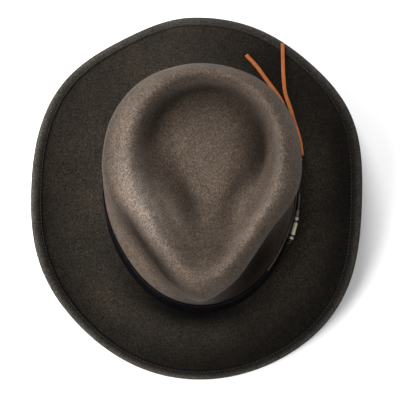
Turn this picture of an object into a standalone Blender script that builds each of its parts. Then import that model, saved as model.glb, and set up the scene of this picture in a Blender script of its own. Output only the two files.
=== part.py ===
"""Outback hat: a taupe felt crown with a teardrop crease, a charcoal felt brim, a leather band and beads.

The hat stands brim down on the floor. +Z is up, the front of the hat looks along -Y and +X is the wearer's
left. Turns are measured in degrees round the crown, from the front (0) towards the wearer's left (90).
Lengths are in metres. The tables give shares of the named sizes above them.
"""

import math

import bpy
import numpy as np
from mathutils import Vector

# Head opening and felt
HEAD_LENGTH = 0.203
HEAD_WIDTH = 0.166
CROWN_FELT = 0.0025
BRIM_FELT = 0.003
GAP = 0.0003

# Crown
CROWN_HEIGHT = 0.108
CREASE_DEPTH = 0.031
FLOOR_DOME = 0.005
CREASE_TWIST = 3.0
CREASE_SHIFT = 0.007

# Brim
BRIM_WIDTH = 0.071
BRIM_DIP = 0.012
BRIM_RISE_LEFT = 0.040
BRIM_RISE_RIGHT = 0.025
BRIM_REST = 0.0006
COLLAR_HEIGHT = 0.014
COLLAR_FOLD = 0.005
COLLAR_SLACK = 0.0003
WELT_WIDTH = 0.009
WELT_FELT = 0.0015
WELT_RAMP = 0.09

# Hat band
BAND_HEIGHT = 0.022
BAND_LEATHER = 0.0016
BAND_FLARE = 0.0055
BAND_SEAT = 0.0006

# Lace, knot and beads
LACE_WIDTH = 0.0036
LACE_LEATHER = 0.002
LACE_REST = 0.0005
THONG_DIAMETER = 0.0015
THONG_SLACK = 0.0001
KNOT_LENGTH = 0.008
KNOT_WIDTH = 0.0055
BEAD_DIAMETER = 0.004
BEAD_BORE = 0.0022
BEAD_HEIGHT = 0.55
KNOT_TURN = 104.0
BEAD_TURN = 56.0
BEAD_SIDES = 10
STAND_OFF_START = 84.0
STAND_OFF_EASE = 7.0
FRONT_LEAD = 0.004
BACK_LEAD = 0.009
SLIT_LENGTH = 0.0078

# How the surfaces are divided
SEGMENTS = 72
CROWN_STEPS = (1, 1, 2, 2, 2, 2, 2, 3, 1)
BAND_RINGS = (0.04, 0.5, 1.0)

# A row for each section round the crown: shares of the crown's base radius at the band's top, waist, middle,
# shoulder, ridge, crease wall and crease floor, then the ridge's share of the height and the crease's share
# of its depth
CROWN_COLUMNS = ("turn", "band", "waist", "middle", "shoulder", "ridge", "wall", "floor", "height", "depth")
CROWN_ROWS = (
    (0, 0.990, 0.980, 0.955, 0.930, 0.790, 0.700, 0.560, 1.000, 0.45),
    (10, 0.988, 0.958, 0.885, 0.895, 0.750, 0.655, 0.500, 0.998, 0.55),
    (20, 0.982, 0.915, 0.805, 0.840, 0.675, 0.575, 0.430, 0.992, 0.70),
    (30, 0.972, 0.868, 0.755, 0.785, 0.630, 0.525, 0.380, 0.985, 0.84),
    (45, 0.960, 0.838, 0.722, 0.752, 0.595, 0.490, 0.345, 0.975, 0.95),
    (60, 0.964, 0.860, 0.748, 0.775, 0.605, 0.490, 0.340, 0.970, 1.00),
    (75, 0.980, 0.925, 0.840, 0.850, 0.640, 0.520, 0.360, 0.965, 1.00),
    (90, 0.993, 0.985, 0.945, 0.905, 0.680, 0.570, 0.410, 0.960, 1.00),
    (105, 0.998, 1.000, 0.978, 0.936, 0.720, 0.628, 0.480, 0.960, 1.00),
    (120, 1.003, 1.011, 1.001, 0.962, 0.757, 0.682, 0.560, 0.960, 1.00),
    (135, 1.005, 1.014, 1.006, 0.967, 0.783, 0.718, 0.620, 0.965, 1.00),
    (150, 1.003, 1.007, 0.994, 0.952, 0.795, 0.738, 0.655, 0.965, 1.00),
    (165, 1.000, 0.996, 0.970, 0.922, 0.795, 0.742, 0.670, 0.965, 1.00),
    (180, 1.000, 0.992, 0.960, 0.912, 0.790, 0.740, 0.672, 0.965, 1.00),
)
WAIST_HEIGHT = 0.34
MIDDLE_HEIGHT = 0.62
SHOULDER_HEIGHT = 0.83
FLOOR_CENTRE = 0.12
BAND_LEVEL = 1
MIDDLE_LEVEL = 3
SHOULDER_LEVEL = 4
FLOOR_LEVEL = 7

# A row for each soft fold in the crease, from one end to the other: sides and width as shares of the crown's
# breadth, backs of its length, and how far it is raised or sunk as a share of the crease's depth
FOLD_COLUMNS = ("side", "back", "side_end", "back_end", "width", "rise")
FOLD_ROWS = (
    (-0.41, -0.06, -0.22, -0.36, 0.055, 0.08),
    (-0.28, 0.05, -0.06, -0.30, 0.065, -0.06),
)

# A row for each section round the band: how much of its flare stands out at its foot
BAND_COLUMNS = ("turn", "flare")
BAND_ROWS = (
    (0, 1.00),
    (15, 0.92),
    (30, 0.60),
    (45, 0.30),
    (60, 0.16),
    (90, 0.12),
    (120, 0.12),
    (150, 0.20),
    (180, 0.30),
)

# A row for each section round the brim: how far its edge is rolled up, from dipped (0) to raised (1), and
# its share of the brim's width on the wearer's left and on the right
BRIM_COLUMNS = ("turn", "roll", "left", "right")
BRIM_ROWS = (
    (0, 0.00, 0.990, 0.990),
    (22.5, 0.02, 1.019, 1.004),
    (45, 0.28, 1.032, 1.005),
    (67.5, 0.76, 0.958, 1.024),
    (90, 1.00, 0.978, 0.989),
    (112.5, 0.76, 0.993, 0.999),
    (135, 0.28, 0.980, 1.022),
    (157.5, 0.02, 1.020, 0.962),
    (180, 0.00, 1.000, 1.000),
)
DIP_CURVE = 1.35
DIP_LEVEL = 1.8
ROLL_CURVE = 1.9

# Where the brim's section has points, as shares of its width from the crown out to the welt
BRIM_STATIONS = (0.06, 0.2, 0.36, 0.52, 0.68, 0.82)
EDGE_ANGLES = (90, 45, 0, -45, -90)

# The beads on the thong, from the front one to the back one: name, slot, length, share of the bead diameter
BEADS = (
    ("bead_spacer_1", "horn", 0.0014, 0.75),
    ("bead_pale_front", "pale_bead", 0.0024, 0.95),
    ("bead_spacer_2", "horn", 0.0012, 0.75),
    ("bead_bone_tube", "bone", 0.0122, 1.0),
    ("bead_spacer_3", "horn", 0.0012, 0.75),
    ("bead_pale_back", "pale_bead", 0.0035, 0.95),
    ("bead_grey", "grey_bead", 0.0063, 0.80),
    ("bead_horn_tube", "horn", 0.0152, 1.0),
)

# The lace's two free ends: turn, distance out from the band, height above the brim, lean of the flat side in
# degrees (90 against the band, 0 flat on the brim). The first point is at the knot.
TAIL_LEFT = (
    (106.3, 0.0046, 0.0165, 90),
    (109.6, 0.0073, 0.0150, 90),
    (114.0, 0.0096, 0.0125, 88),
    (117.9, 0.0109, 0.0098, 82),
    (121.7, 0.0123, 0.0072, 74),
    (126.0, 0.0142, 0.0046, 60),
    (130.4, 0.0163, 0.0022, 36),
    (135.8, 0.0195, 0.0002, 6),
    (141.0, 0.0219, 0.0000, 0),
    (146.1, 0.0243, 0.0000, 0),
    (152.2, 0.0297, 0.0000, 0),
    (159.0, 0.0366, 0.0000, 0),
)
TAIL_RIGHT = (
    (106.0, 0.0073, 0.0165, 90),
    (109.2, 0.0099, 0.0150, 90),
    (113.5, 0.0123, 0.0123, 88),
    (117.3, 0.0138, 0.0096, 82),
    (121.2, 0.0154, 0.0070, 74),
    (125.4, 0.0176, 0.0044, 60),
    (129.3, 0.0208, 0.0020, 36),
    (133.4, 0.0242, 0.0002, 6),
    (136.7, 0.0276, 0.0000, 0),
    (139.9, 0.0338, 0.0000, 0),
    (143.2, 0.0430, 0.0000, 0),
    (146.2, 0.0540, 0.0000, 0),
    (148.7, 0.0655, 0.0000, 0),
)
TAIL_POINTS = 18
THONG_POINTS = 36

CROWN_FELT_COLOUR = (0.125, 0.105, 0.090, 1.0)
BRIM_FELT_COLOUR = (0.028, 0.024, 0.020, 1.0)
BAND_COLOUR = (0.008, 0.008, 0.010, 1.0)
LACE_COLOUR = (0.42, 0.15, 0.045, 1.0)
BONE_COLOUR = (0.66, 0.60, 0.44, 1.0)
HORN_COLOUR = (0.012, 0.009, 0.007, 1.0)
PALE_COLOUR = (0.60, 0.57, 0.52, 1.0)
GREY_COLOUR = (0.16, 0.15, 0.14, 1.0)

CROWN_LENGTH = HEAD_LENGTH / 2 + BRIM_FELT + GAP + CROWN_FELT
CROWN_BREADTH = HEAD_WIDTH / 2 + BRIM_FELT + GAP + CROWN_FELT
BREAK_HEIGHT = BRIM_DIP + BRIM_FELT - BRIM_REST
STAND_OFF = THONG_DIAMETER + 2 * GAP + THONG_SLACK
FULL_TURN = 360.0


def spline_weights(knots, places):
    """The matrix that turns values at the knots into a smooth cubic curve's values at the places."""
    knots = np.asarray(knots, float)
    places = np.atleast_1d(np.asarray(places, float))
    count = len(knots)
    gaps = np.diff(knots)
    bend = np.eye(count)
    pull = np.zeros((count, count))
    for i in range(1, count - 1):
        bend[i, i - 1 : i + 2] = gaps[i - 1] / 6, (gaps[i - 1] + gaps[i]) / 3, gaps[i] / 6
        pull[i, i - 1 : i + 2] = 1 / gaps[i - 1], -1 / gaps[i - 1] - 1 / gaps[i], 1 / gaps[i]
    curvature = np.linalg.solve(bend, pull)
    span = np.clip(np.searchsorted(knots, places, side="right") - 1, 0, count - 2)
    after = (places - knots[span]) / gaps[span]
    weights = np.zeros((len(places), count))
    for i, (k, share) in enumerate(zip(span, after)):
        rest = 1 - share
        weights[i, k] += rest
        weights[i, k + 1] += share
        weights[i] += (rest**3 - rest) * gaps[k] ** 2 / 6 * curvature[k]
        weights[i] += (share**3 - share) * gaps[k] ** 2 / 6 * curvature[k + 1]
    return weights


def around(rows, turns):
    """A table's columns read smoothly at any turn. Its rows are for the wearer's left and are mirrored."""
    table = np.array(rows, float)
    mirrored = table[-2:0:-1].copy()
    mirrored[:, 0] = FULL_TURN - mirrored[:, 0]
    lap = np.concatenate([table, mirrored])
    laps = [lap + np.array([FULL_TURN * k] + [0] * (lap.shape[1] - 1)) for k in (-1, 0, 1)]
    whole = np.concatenate(laps)
    return spline_weights(whole[:, 0], np.asarray(turns) % FULL_TURN) @ whole[:, 1:]


def read_table(names, rows, turns):
    """A table's columns at the turns, by name."""
    return dict(zip(names[1:], around(rows, turns).T))


def direction(turn):
    """The level unit vector that points out of the crown at a turn."""
    angle = np.radians(turn)
    return np.stack([np.sin(angle), -np.cos(angle)], -1)


def base_radius(turn):
    """The crown's outer oval where it meets the brim."""
    angle = np.radians(turn)
    return 1 / np.sqrt((np.sin(angle) / CROWN_BREADTH) ** 2 + (np.cos(angle) / CROWN_LENGTH) ** 2)


def crown_controls(turns):
    """Radius and height of the crown's section at its control points, from the base over to the centre."""
    table = read_table(CROWN_COLUMNS, CROWN_ROWS, turns)
    radius = base_radius(turns)
    even = np.ones_like(radius)
    top = table["height"] * CROWN_HEIGHT
    drop = table["depth"] * CREASE_DEPTH
    centre = even * (CROWN_HEIGHT - CREASE_DEPTH + FLOOR_DOME)
    near = even * FLOOR_CENTRE * CROWN_BREADTH
    radii = [radius] + [table[name] * radius for name in CROWN_COLUMNS[1:8]] + [near, 0 * even, -near]
    heights = [0 * even, BAND_HEIGHT * even]
    heights += [share * CROWN_HEIGHT * even for share in (WAIST_HEIGHT, MIDDLE_HEIGHT, SHOULDER_HEIGHT)]
    heights += [top, top - drop / 2, top - drop, centre, centre, centre]
    return np.array(radii), np.array(heights)


def crown_knots():
    """Distances along the crown's mean section at its control points."""
    radii, heights = crown_controls(np.arange(0, FULL_TURN, 15.0))
    steps = np.hypot(np.diff(radii.mean(1)), np.diff(heights.mean(1)))
    return np.concatenate([[0], np.cumsum(steps)])


def crown_surface(turns, levels):
    """Points of the crown's outer surface. Level 0 is its base, and each next level is a control point."""
    knots = crown_knots()
    places = np.interp(levels, np.arange(len(knots)), knots)
    weights = spline_weights(knots, places)
    radii, heights = crown_controls(turns)
    radius = weights @ radii
    height = weights @ heights
    levels = np.asarray(levels)[:, None]
    twist = CREASE_TWIST * np.clip((levels - BAND_LEVEL) / (MIDDLE_LEVEL - BAND_LEVEL), 0, 1)
    level = direction(np.asarray(turns)[None, :] - twist) * radius[:, :, None]
    level[:, :, 0] += CREASE_SHIFT * smooth_step((levels - SHOULDER_LEVEL) / (FLOOR_LEVEL - SHOULDER_LEVEL))
    return np.dstack([level, BREAK_HEIGHT + GAP + height + crease_folds(level)])


def crease_folds(level):
    """How much the folds in the crease raise the crown's points."""
    height = np.zeros(level.shape[:2])
    size = np.array((CROWN_BREADTH, CROWN_LENGTH))
    for row in FOLD_ROWS:
        fold = dict(zip(FOLD_COLUMNS, row))
        start = size * (fold["side"], fold["back"])
        along = size * (fold["side_end"], fold["back_end"]) - start
        place = np.clip((level - start) @ along / (along @ along), 0, 1)
        away = np.linalg.norm(level - start - place[:, :, None] * along, axis=2)
        height += fold["rise"] * CREASE_DEPTH * np.exp(-((away / (fold["width"] * CROWN_BREADTH)) ** 2))
    return height


def crown_levels(steps):
    """Levels from the base to the centre, with so many steps between the controls."""
    levels = [0.0]
    for first, count in enumerate(steps):
        levels += [first + (k + 1) / count for k in range(count)]
    return np.array(levels)


def brim_rise(turns):
    """Height of the brim's edge over its break."""
    turns = np.asarray(turns, float)
    roll = read_table(BRIM_COLUMNS, BRIM_ROWS, turns)["roll"]
    side = np.sin(np.radians(turns))
    rise = (BRIM_RISE_LEFT + BRIM_RISE_RIGHT) / 2 + side * (BRIM_RISE_LEFT - BRIM_RISE_RIGHT) / 2
    return (1 - roll) * -BRIM_DIP, roll * rise


def brim_run(turns):
    """The brim's level reach from the crown to its edge."""
    dip, rise = brim_rise(turns)
    table = read_table(BRIM_COLUMNS, BRIM_ROWS, turns)
    is_left = np.asarray(turns) % FULL_TURN < FULL_TURN / 2
    width = BRIM_WIDTH * np.where(is_left, table["left"], table["right"])
    return np.sqrt(width**2 - (dip + rise) ** 2)


def brim_section(turns, share, above):
    """Radius and height of a point of the brim: its share of the way out, and how far above the face."""
    turns = np.atleast_1d(np.asarray(turns, float))
    dip, rise = brim_rise(turns)
    run = brim_run(turns)
    share = np.maximum(share, 0.0)
    radius = base_radius(turns) + run * share
    ahead = np.maximum(1 - share**DIP_CURVE, 0.0)
    height = dip * (1 - ahead**DIP_LEVEL) + rise * share**ROLL_CURVE
    fall = dip * DIP_LEVEL * ahead ** (DIP_LEVEL - 1) * DIP_CURVE * share ** (DIP_CURVE - 1)
    slope = (fall + rise * ROLL_CURVE * share ** (ROLL_CURVE - 1)) / run
    length = np.hypot(1, slope)
    return radius - above * slope / length, BREAK_HEIGHT + height + above / length


def brim_point(turns, share, above):
    """Points of the brim in space. The felt is pressed flat where it would reach below the floor."""
    radius, height = brim_section(turns, share, above)
    return np.column_stack([direction(np.atleast_1d(turns)) * radius[:, None], np.maximum(height, 0.0)])


def band_stand_off(turns):
    """How far the band stands off the crown, where the thong runs behind it."""
    turns = np.asarray(turns, float)
    ahead = smooth_step((turns - STAND_OFF_START) / STAND_OFF_EASE)
    behind = smooth_step((KNOT_TURN + STAND_OFF_EASE - turns) / STAND_OFF_EASE)
    return STAND_OFF * ahead * behind


def smooth_step(value):
    """Eases from 0 to 1."""
    value = np.clip(value, 0, 1)
    return value * value * (3 - 2 * value)


def band_point(turns, rise, out):
    """Points on the band's outer face, at a share of its height, moved out by a distance."""
    turns = np.atleast_1d(np.asarray(turns, float))
    rise = np.broadcast_to(np.asarray(rise, float), turns.shape)
    out = np.broadcast_to(np.asarray(out, float), turns.shape)
    wall = np.array([crown_surface([turn], [level])[0, 0] for turn, level in zip(turns, rise)])
    flare = BAND_FLARE * read_table(BAND_COLUMNS, BAND_ROWS, turns)["flare"] * (1 - rise) ** 2
    reach = GAP + band_stand_off(turns) + BAND_LEATHER + flare + out
    wall[:, :2] += direction(turns) * reach[:, None]
    return wall


def make_material(name, colour, roughness):
    material = bpy.data.materials.new(name)
    material.use_nodes = True
    shader = material.node_tree.nodes["Principled BSDF"]
    shader.inputs["Base Color"].default_value = colour
    shader.inputs["Roughness"].default_value = roughness
    shader.inputs["Metallic"].default_value = 0.0
    return material


def make_object(name, data, material):
    data.materials.append(material)
    obj = bpy.data.objects.new(name, data)
    bpy.context.collection.objects.link(obj)
    return obj


def grid_faces(rings, columns, loop_rings):
    """Quads between the rings of a grid whose columns close on themselves."""
    faces = []
    last = rings if loop_rings else rings - 1
    for ring in range(last):
        above = (ring + 1) % rings
        for column in range(columns):
            beside = (column + 1) % columns
            corners = (ring, column), (ring, beside), (above, beside), (above, column)
            faces.append(tuple(r * columns + c for r, c in corners))
    return faces


def make_mesh(name, points, faces):
    mesh = bpy.data.meshes.new(name)
    mesh.from_pydata([tuple(p) for p in points], [], faces)
    mesh.update()
    mesh.shade_smooth()
    return mesh


def all_turns():
    return np.arange(SEGMENTS) * FULL_TURN / SEGMENTS


def skin_normals(grid):
    """Outward normals of the crown's surface at each point of its grid, whose last ring is the pole."""
    along = np.gradient(grid, axis=0)
    around_it = np.roll(grid, -1, axis=1) - np.roll(grid, 1, axis=1)
    normals = np.cross(around_it, along)
    normals[-1] = (0, 0, 1)
    return normals / np.linalg.norm(normals, axis=2, keepdims=True)


def crown_skins(turns, steps):
    """The outer and inner faces of the crown's felt, as grids from the base up and over to the centre."""
    outer = crown_surface(turns, crown_levels(steps))
    inner = outer - CROWN_FELT * skin_normals(outer)
    inner[0, :, 2] = outer[0, :, 2]
    return outer, inner


def make_crown(material, centre):
    """The crown: one closed shell of felt, open below for the head."""
    outer, inner = crown_skins(all_turns(), CROWN_STEPS)
    rings = len(outer) - 1
    walls = [skin[:-1].reshape(-1, 3) for skin in (outer, inner)]
    points = np.concatenate(walls + [outer[-1, :1], inner[-1, :1]])
    inside = rings * SEGMENTS
    last = (rings - 1) * SEGMENTS
    wall = grid_faces(rings, SEGMENTS, False)
    faces = wall + [tuple(inside + k for k in face[::-1]) for face in wall]
    for k in range(SEGMENTS):
        beside = (k + 1) % SEGMENTS
        faces.append((last + k, last + beside, 2 * inside))
        faces.append((inside + last + beside, inside + last + k, 2 * inside + 1))
        faces.append((beside, k, inside + k, inside + beside))
    return make_object("crown", make_mesh("crown", points + centre, faces), material)


def brim_loop():
    """The brim's closed section as rings: collar, upper face, welt, rolled edge, under face and fold."""
    turns = all_turns()
    outside = base_radius(turns) - CROWN_FELT - GAP
    inside = outside - BRIM_FELT
    level = np.full(SEGMENTS, BREAK_HEIGHT)
    out = direction(turns)
    _, lining = crown_skins(turns, CROWN_STEPS)
    upper = np.hypot(lining[1, :, 0], lining[1, :, 1])
    lean = (upper - (outside + GAP)) / (lining[1, :, 2] - lining[0, :, 2]) * COLLAR_HEIGHT - COLLAR_SLACK
    welt = 1 - WELT_WIDTH / BRIM_WIDTH
    edge = (BRIM_FELT + WELT_FELT) / 2
    edge_share = 1 - edge / BRIM_WIDTH

    def ring(radius, height):
        return np.column_stack([out * radius[:, None], height])

    top = level + COLLAR_HEIGHT
    rings = [ring(inside + lean, top), ring(outside + lean, top), ring(outside - COLLAR_SLACK, level)]
    rings += [brim_point(turns, share * welt, 0) for share in BRIM_STATIONS]
    rings += [brim_point(turns, welt - WELT_FELT / BRIM_WIDTH, 0), brim_point(turns, welt, WELT_FELT)]
    for angle in EDGE_ANGLES:
        reach = edge_share + edge / BRIM_WIDTH * math.cos(math.radians(angle))
        rise = WELT_FELT - edge + edge * math.sin(math.radians(angle))
        rings.append(brim_point(turns, reach, rise))
    rings += [brim_point(turns, share * welt, -BRIM_FELT) for share in (1, *reversed(BRIM_STATIONS))]
    for angle in (0, 45, 90):
        reach = COLLAR_FOLD * (1 - math.sin(math.radians(angle)))
        rise = COLLAR_FOLD * (1 - math.cos(math.radians(angle)))
        rings.append(ring(inside + reach, level - BRIM_FELT + rise))
    return rings


def make_brim(material, centre):
    rings = brim_loop()
    points = np.concatenate(rings) + centre
    faces = [face[::-1] for face in grid_faces(len(rings), SEGMENTS, True)]
    return make_object("brim", make_mesh("brim", points, faces), material)


def make_band(material, centre):
    """The leather band, a closed ring on the crown, with two slits for the thong."""
    turns = all_turns()
    inner = [band_point(turns, rise, -BAND_LEATHER) for rise in BAND_RINGS]
    outer = [band_point(turns, rise, 0) for rise in reversed(BAND_RINGS)]
    rings = inner + outer
    for ring in (rings[0], rings[-1]):
        ring[:, 2] = BREAK_HEIGHT + GAP + BAND_SEAT
    points = np.concatenate(rings) + centre
    mesh = make_mesh("hat_band", points, grid_faces(len(rings), SEGMENTS, True))
    band = make_object("hat_band", mesh, material)
    for place, turn in enumerate(slit_turns()):
        cut_slit(band, place, turn, centre)
    return band


def cut_slit(band, place, turn, centre):
    """A short slot through the leather, where the thong passes."""
    width = THONG_DIAMETER + 4 * GAP
    across = BAND_LEATHER * 4
    middle = band_point(turn, BEAD_HEIGHT, -BAND_LEATHER / 2)[0] + centre
    corners = [(x, y, z) for x in (-0.5, 0.5) for y in (-0.5, 0.5) for z in (-0.5, 0.5)]
    faces = [(0, 1, 3, 2), (4, 6, 7, 5), (0, 4, 5, 1), (2, 3, 7, 6), (0, 2, 6, 4), (1, 5, 7, 3)]
    points = [(x * SLIT_LENGTH, y * across, z * width) for x, y, z in corners]
    cutter = bpy.data.objects.new(f"slit_{place}", make_mesh("slit", points, faces))
    bpy.context.collection.objects.link(cutter)
    cutter.location = Vector(middle)
    cutter.rotation_euler = (0, 0, math.radians(turn))
    cutter.hide_render = True
    cutter.display_type = "WIRE"
    cut = band.modifiers.new(cutter.name, "BOOLEAN")
    cut.operation = "DIFFERENCE"
    cut.object = cutter


def band_path():
    """Turns and distances round the band at the beads' height, measured from the front slit."""
    turns = np.linspace(BEAD_TURN - 20, KNOT_TURN + 10, 240)
    points = band_point(turns, BEAD_HEIGHT, bead_out())
    lengths = np.concatenate([[0], np.cumsum(np.linalg.norm(np.diff(points, axis=0), axis=1))])
    return turns, lengths - np.interp(BEAD_TURN, turns, lengths)


def bead_out():
    return GAP + BEAD_DIAMETER / 2


def bead_spans():
    """Where each bead starts and ends along the path, and where the path's end is."""
    reach = FRONT_LEAD
    spans = []
    for _, _, length, _ in BEADS:
        spans.append((reach, reach + length))
        reach += length + GAP
    return spans, reach + BACK_LEAD


def turn_at(distance):
    turns, lengths = band_path()
    return np.interp(distance, lengths, turns)


def slit_turns():
    return BEAD_TURN, float(turn_at(bead_spans()[1]))


def bead_pose(span):
    """The middle and the direction of a bead that lies along the band between two distances."""
    turns = turn_at(np.linspace(*span, 9))
    path = band_point(turns, BEAD_HEIGHT, bead_out())
    along = (path[-1] - path[0]) / np.linalg.norm(path[-1] - path[0])
    out = np.cross(along, (0, 0, 1))
    reach = ((path - path[0]) @ out).max()
    return (path[0] + path[-1]) / 2 + out * reach, along


def make_bead(name, diameter, span, material, centre):
    """A drilled bead with rounded ends, turned about its bore and laid along the band."""
    length = span[1] - span[0]
    round_end = min(length, diameter - BEAD_BORE) / 4
    section = [
        (BEAD_BORE / 2, -length / 2),
        (diameter / 2 - round_end, -length / 2),
        (diameter / 2, round_end - length / 2),
        (diameter / 2, length / 2 - round_end),
        (diameter / 2 - round_end, length / 2),
        (BEAD_BORE / 2, length / 2),
    ]
    points = []
    for radius, along in section:
        for side in range(BEAD_SIDES):
            angle = math.tau * side / BEAD_SIDES
            points.append((radius * math.cos(angle), radius * math.sin(angle), along))
    bead = make_object(name, make_mesh(name, points, grid_faces(len(section), BEAD_SIDES, True)), material)
    middle, heading = bead_pose(span)
    bead.location = Vector(middle + centre)
    bead.rotation_euler = Vector(heading).to_track_quat("Z", "Y").to_euler()
    return bead


def make_cord(name, points, tilts, depth, extrude, material):
    """A curve object with filled caps: a round cord, or a flat one if it is extruded."""
    curve = bpy.data.curves.new(name, "CURVE")
    curve.dimensions = "3D"
    curve.bevel_depth = depth
    curve.bevel_resolution = 2
    curve.extrude = extrude
    curve.use_fill_caps = True
    spline = curve.splines.new("POLY")
    spline.points.add(len(points) - 1)
    for knot, point, tilt in zip(spline.points, points, tilts):
        knot.co = (*point, 1)
        knot.tilt = tilt
    return make_object(name, curve, material)


def smooth_route(points, count):
    """Evenly spread points on a smooth curve through a route's own points."""
    points = np.array(points, float)
    steps = np.linalg.norm(np.diff(points[:, :3], axis=0), axis=1)
    knots = np.concatenate([[0], np.cumsum(steps)])
    return spline_weights(knots, np.linspace(0, knots[-1], count)) @ points


def tail_route(rows):
    """A free end's points in space, with the lean of its flat side as a fourth column."""
    route = []
    for turn, out, lift, lean in rows:
        band = band_point(turn, 0.0, 0.0)[0]
        radius = math.hypot(band[0], band[1]) + out
        share = (radius - base_radius(turn)) / brim_run([turn])[0]
        rest = LACE_REST + LACE_LEATHER / 2
        point = brim_point([turn], share, rest + welt_height(share))[0]
        route.append((point[0], point[1], point[2] + lift, lean))
    return route


def welt_height(share):
    """The welt's height where a tail crosses it."""
    start = 1 - (WELT_WIDTH + 2 * WELT_FELT) / BRIM_WIDTH
    return (WELT_FELT + GAP) * float(smooth_step((share - start + WELT_RAMP) / WELT_RAMP))


def brim_normal(point):
    """The brim's upward normal below a point that is given about the crown's axis."""
    turn = math.degrees(math.atan2(point[0], -point[1]))
    share = (math.hypot(point[0], point[1]) - base_radius(turn)) / brim_run([turn])[0]
    steps = ((0, -0.02), (0, 0.02), (-1, 0), (1, 0))
    near, far, left, right = (brim_point([turn + aside], share + step, 0)[0] for aside, step in steps)
    normal = np.cross(right - left, near - far)
    return normal / np.linalg.norm(normal) * math.copysign(1, normal[2])


def tail_tilts(route):
    """Twist of the flat lace along its route, so that it lies along the brim or stands against the band."""
    tilts = []
    for point, ahead in zip(route, np.gradient(route[:, :3], axis=0)):
        ahead = ahead / np.linalg.norm(ahead)
        upright = np.array((0, 0, 1)) - ahead[2] * ahead
        upright /= np.linalg.norm(upright)
        across = np.cross(brim_normal(point), ahead)
        flat = math.atan2(across @ np.cross(ahead, upright), across @ upright)
        if flat < 0:
            flat += math.pi
        tilts.append(flat * (1 - min(max(point[3], 0), 90) / 90))
    return tilts


def make_tail(name, rows, material, centre):
    route = smooth_route(tail_route(rows), TAIL_POINTS)
    points = route[:, :3] + centre
    tilts = tail_tilts(route)
    return make_cord(name, points, tilts, LACE_LEATHER / 2, (LACE_WIDTH - LACE_LEATHER) / 2, material)


def thong_route():
    """The thong from the knot, down behind the band, out through a slit, along the beads and back in."""
    front, back = slit_turns()
    behind = -BAND_LEATHER - THONG_DIAMETER / 2 - GAP
    top = 1 + (GAP + THONG_DIAMETER) / BAND_HEIGHT
    rows = [
        (KNOT_TURN - 1.5, top, GAP + THONG_DIAMETER / 2),
        (KNOT_TURN - 2.6, top + 0.03, -BAND_LEATHER / 2),
        (KNOT_TURN - 3.8, top, behind),
        (KNOT_TURN - 5.0, 0.90, behind),
        (KNOT_TURN - 6.8, 0.70, behind),
        (back + 4.0, BEAD_HEIGHT, behind),
        (back + 2.4, BEAD_HEIGHT, behind),
        (back, BEAD_HEIGHT, -BAND_LEATHER / 2),
    ]
    route = [band_point(turn, rise, out)[0] for turn, rise, out in rows]
    spans = bead_spans()[0][::-1]
    last, along = bead_pose(spans[0])
    route.append(last + along * ((spans[0][1] - spans[0][0]) / 2 + THONG_DIAMETER))
    for span in spans:
        middle, along = bead_pose(span)
        reach = along * (span[1] - span[0]) * 0.45
        route += [middle + reach, middle, middle - reach]
    rows = [
        (front + 1.6, BEAD_HEIGHT, bead_out()),
        (front + 0.3, BEAD_HEIGHT, GAP),
        (front, BEAD_HEIGHT, -BAND_LEATHER / 2),
    ]
    return route + [band_point(turn, rise, out)[0] for turn, rise, out in rows]


def make_thong(material, centre):
    points = smooth_route(thong_route(), THONG_POINTS) + centre
    return make_cord("lace_thong", points, [0.0] * len(points), THONG_DIAMETER / 2, 0.0, material)


def make_knot(material, centre):
    """The pulled-up knot: a short thick bundle with a waist, lying along the band's top edge."""
    sides = 12
    shares = ((0.0, 0.45), (0.12, 0.85), (0.32, 1.0), (0.5, 0.82), (0.68, 1.0), (0.88, 0.85), (1.0, 0.45))
    points = []
    for along, girth in shares:
        for side in range(sides):
            angle = math.tau * side / sides
            radius = girth * KNOT_WIDTH / 2
            points.append((radius * math.cos(angle), radius * math.sin(angle), (along - 0.5) * KNOT_LENGTH))
    faces = grid_faces(len(shares), sides, False)
    faces.append(tuple(range(sides))[::-1])
    faces.append(tuple(range((len(shares) - 1) * sides, len(shares) * sides)))
    knot = make_object("lace_knot", make_mesh("lace_knot", points, faces), material)
    place = band_point(KNOT_TURN + 1.2, 1.0, GAP + KNOT_WIDTH / 2)[0]
    ahead = band_point(KNOT_TURN + 4, 1.0, GAP + KNOT_WIDTH / 2)[0]
    knot.location = Vector(place + centre)
    knot.rotation_euler = Vector(ahead - place).to_track_quat("Z", "Y").to_euler()
    return knot


def outline_centre():
    """Moves the middle of the brim's outline to the origin."""
    points = brim_point(np.arange(0, FULL_TURN, 1.0), 1.0, 0)
    low = points.min(0)
    high = points.max(0)
    return np.array([-(low[0] + high[0]) / 2, -(low[1] + high[1]) / 2, 0.0])


def main():
    for obj in list(bpy.data.objects):
        bpy.data.objects.remove(obj)
    centre = outline_centre()
    materials = {
        "crown_felt": make_material("crown_felt", CROWN_FELT_COLOUR, 0.95),
        "brim_felt": make_material("brim_felt", BRIM_FELT_COLOUR, 0.95),
        "band_leather": make_material("band_leather", BAND_COLOUR, 0.45),
        "lace_leather": make_material("lace_leather", LACE_COLOUR, 0.6),
        "bone": make_material("bone", BONE_COLOUR, 0.35),
        "horn": make_material("horn", HORN_COLOUR, 0.25),
        "pale_bead": make_material("pale_bead", PALE_COLOUR, 0.3),
        "grey_bead": make_material("grey_bead", GREY_COLOUR, 0.4),
    }
    make_crown(materials["crown_felt"], centre)
    make_brim(materials["brim_felt"], centre)
    make_band(materials["band_leather"], centre)
    make_thong(materials["lace_leather"], centre)
    make_knot(materials["lace_leather"], centre)
    make_tail("lace_tail_left", TAIL_LEFT, materials["lace_leather"], centre)
    make_tail("lace_tail_right", TAIL_RIGHT, materials["lace_leather"], centre)
    for (name, slot, _, girth), span in zip(BEADS, bead_spans()[0]):
        make_bead(name, BEAD_DIAMETER * girth, span, materials[slot], centre)


main()
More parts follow.
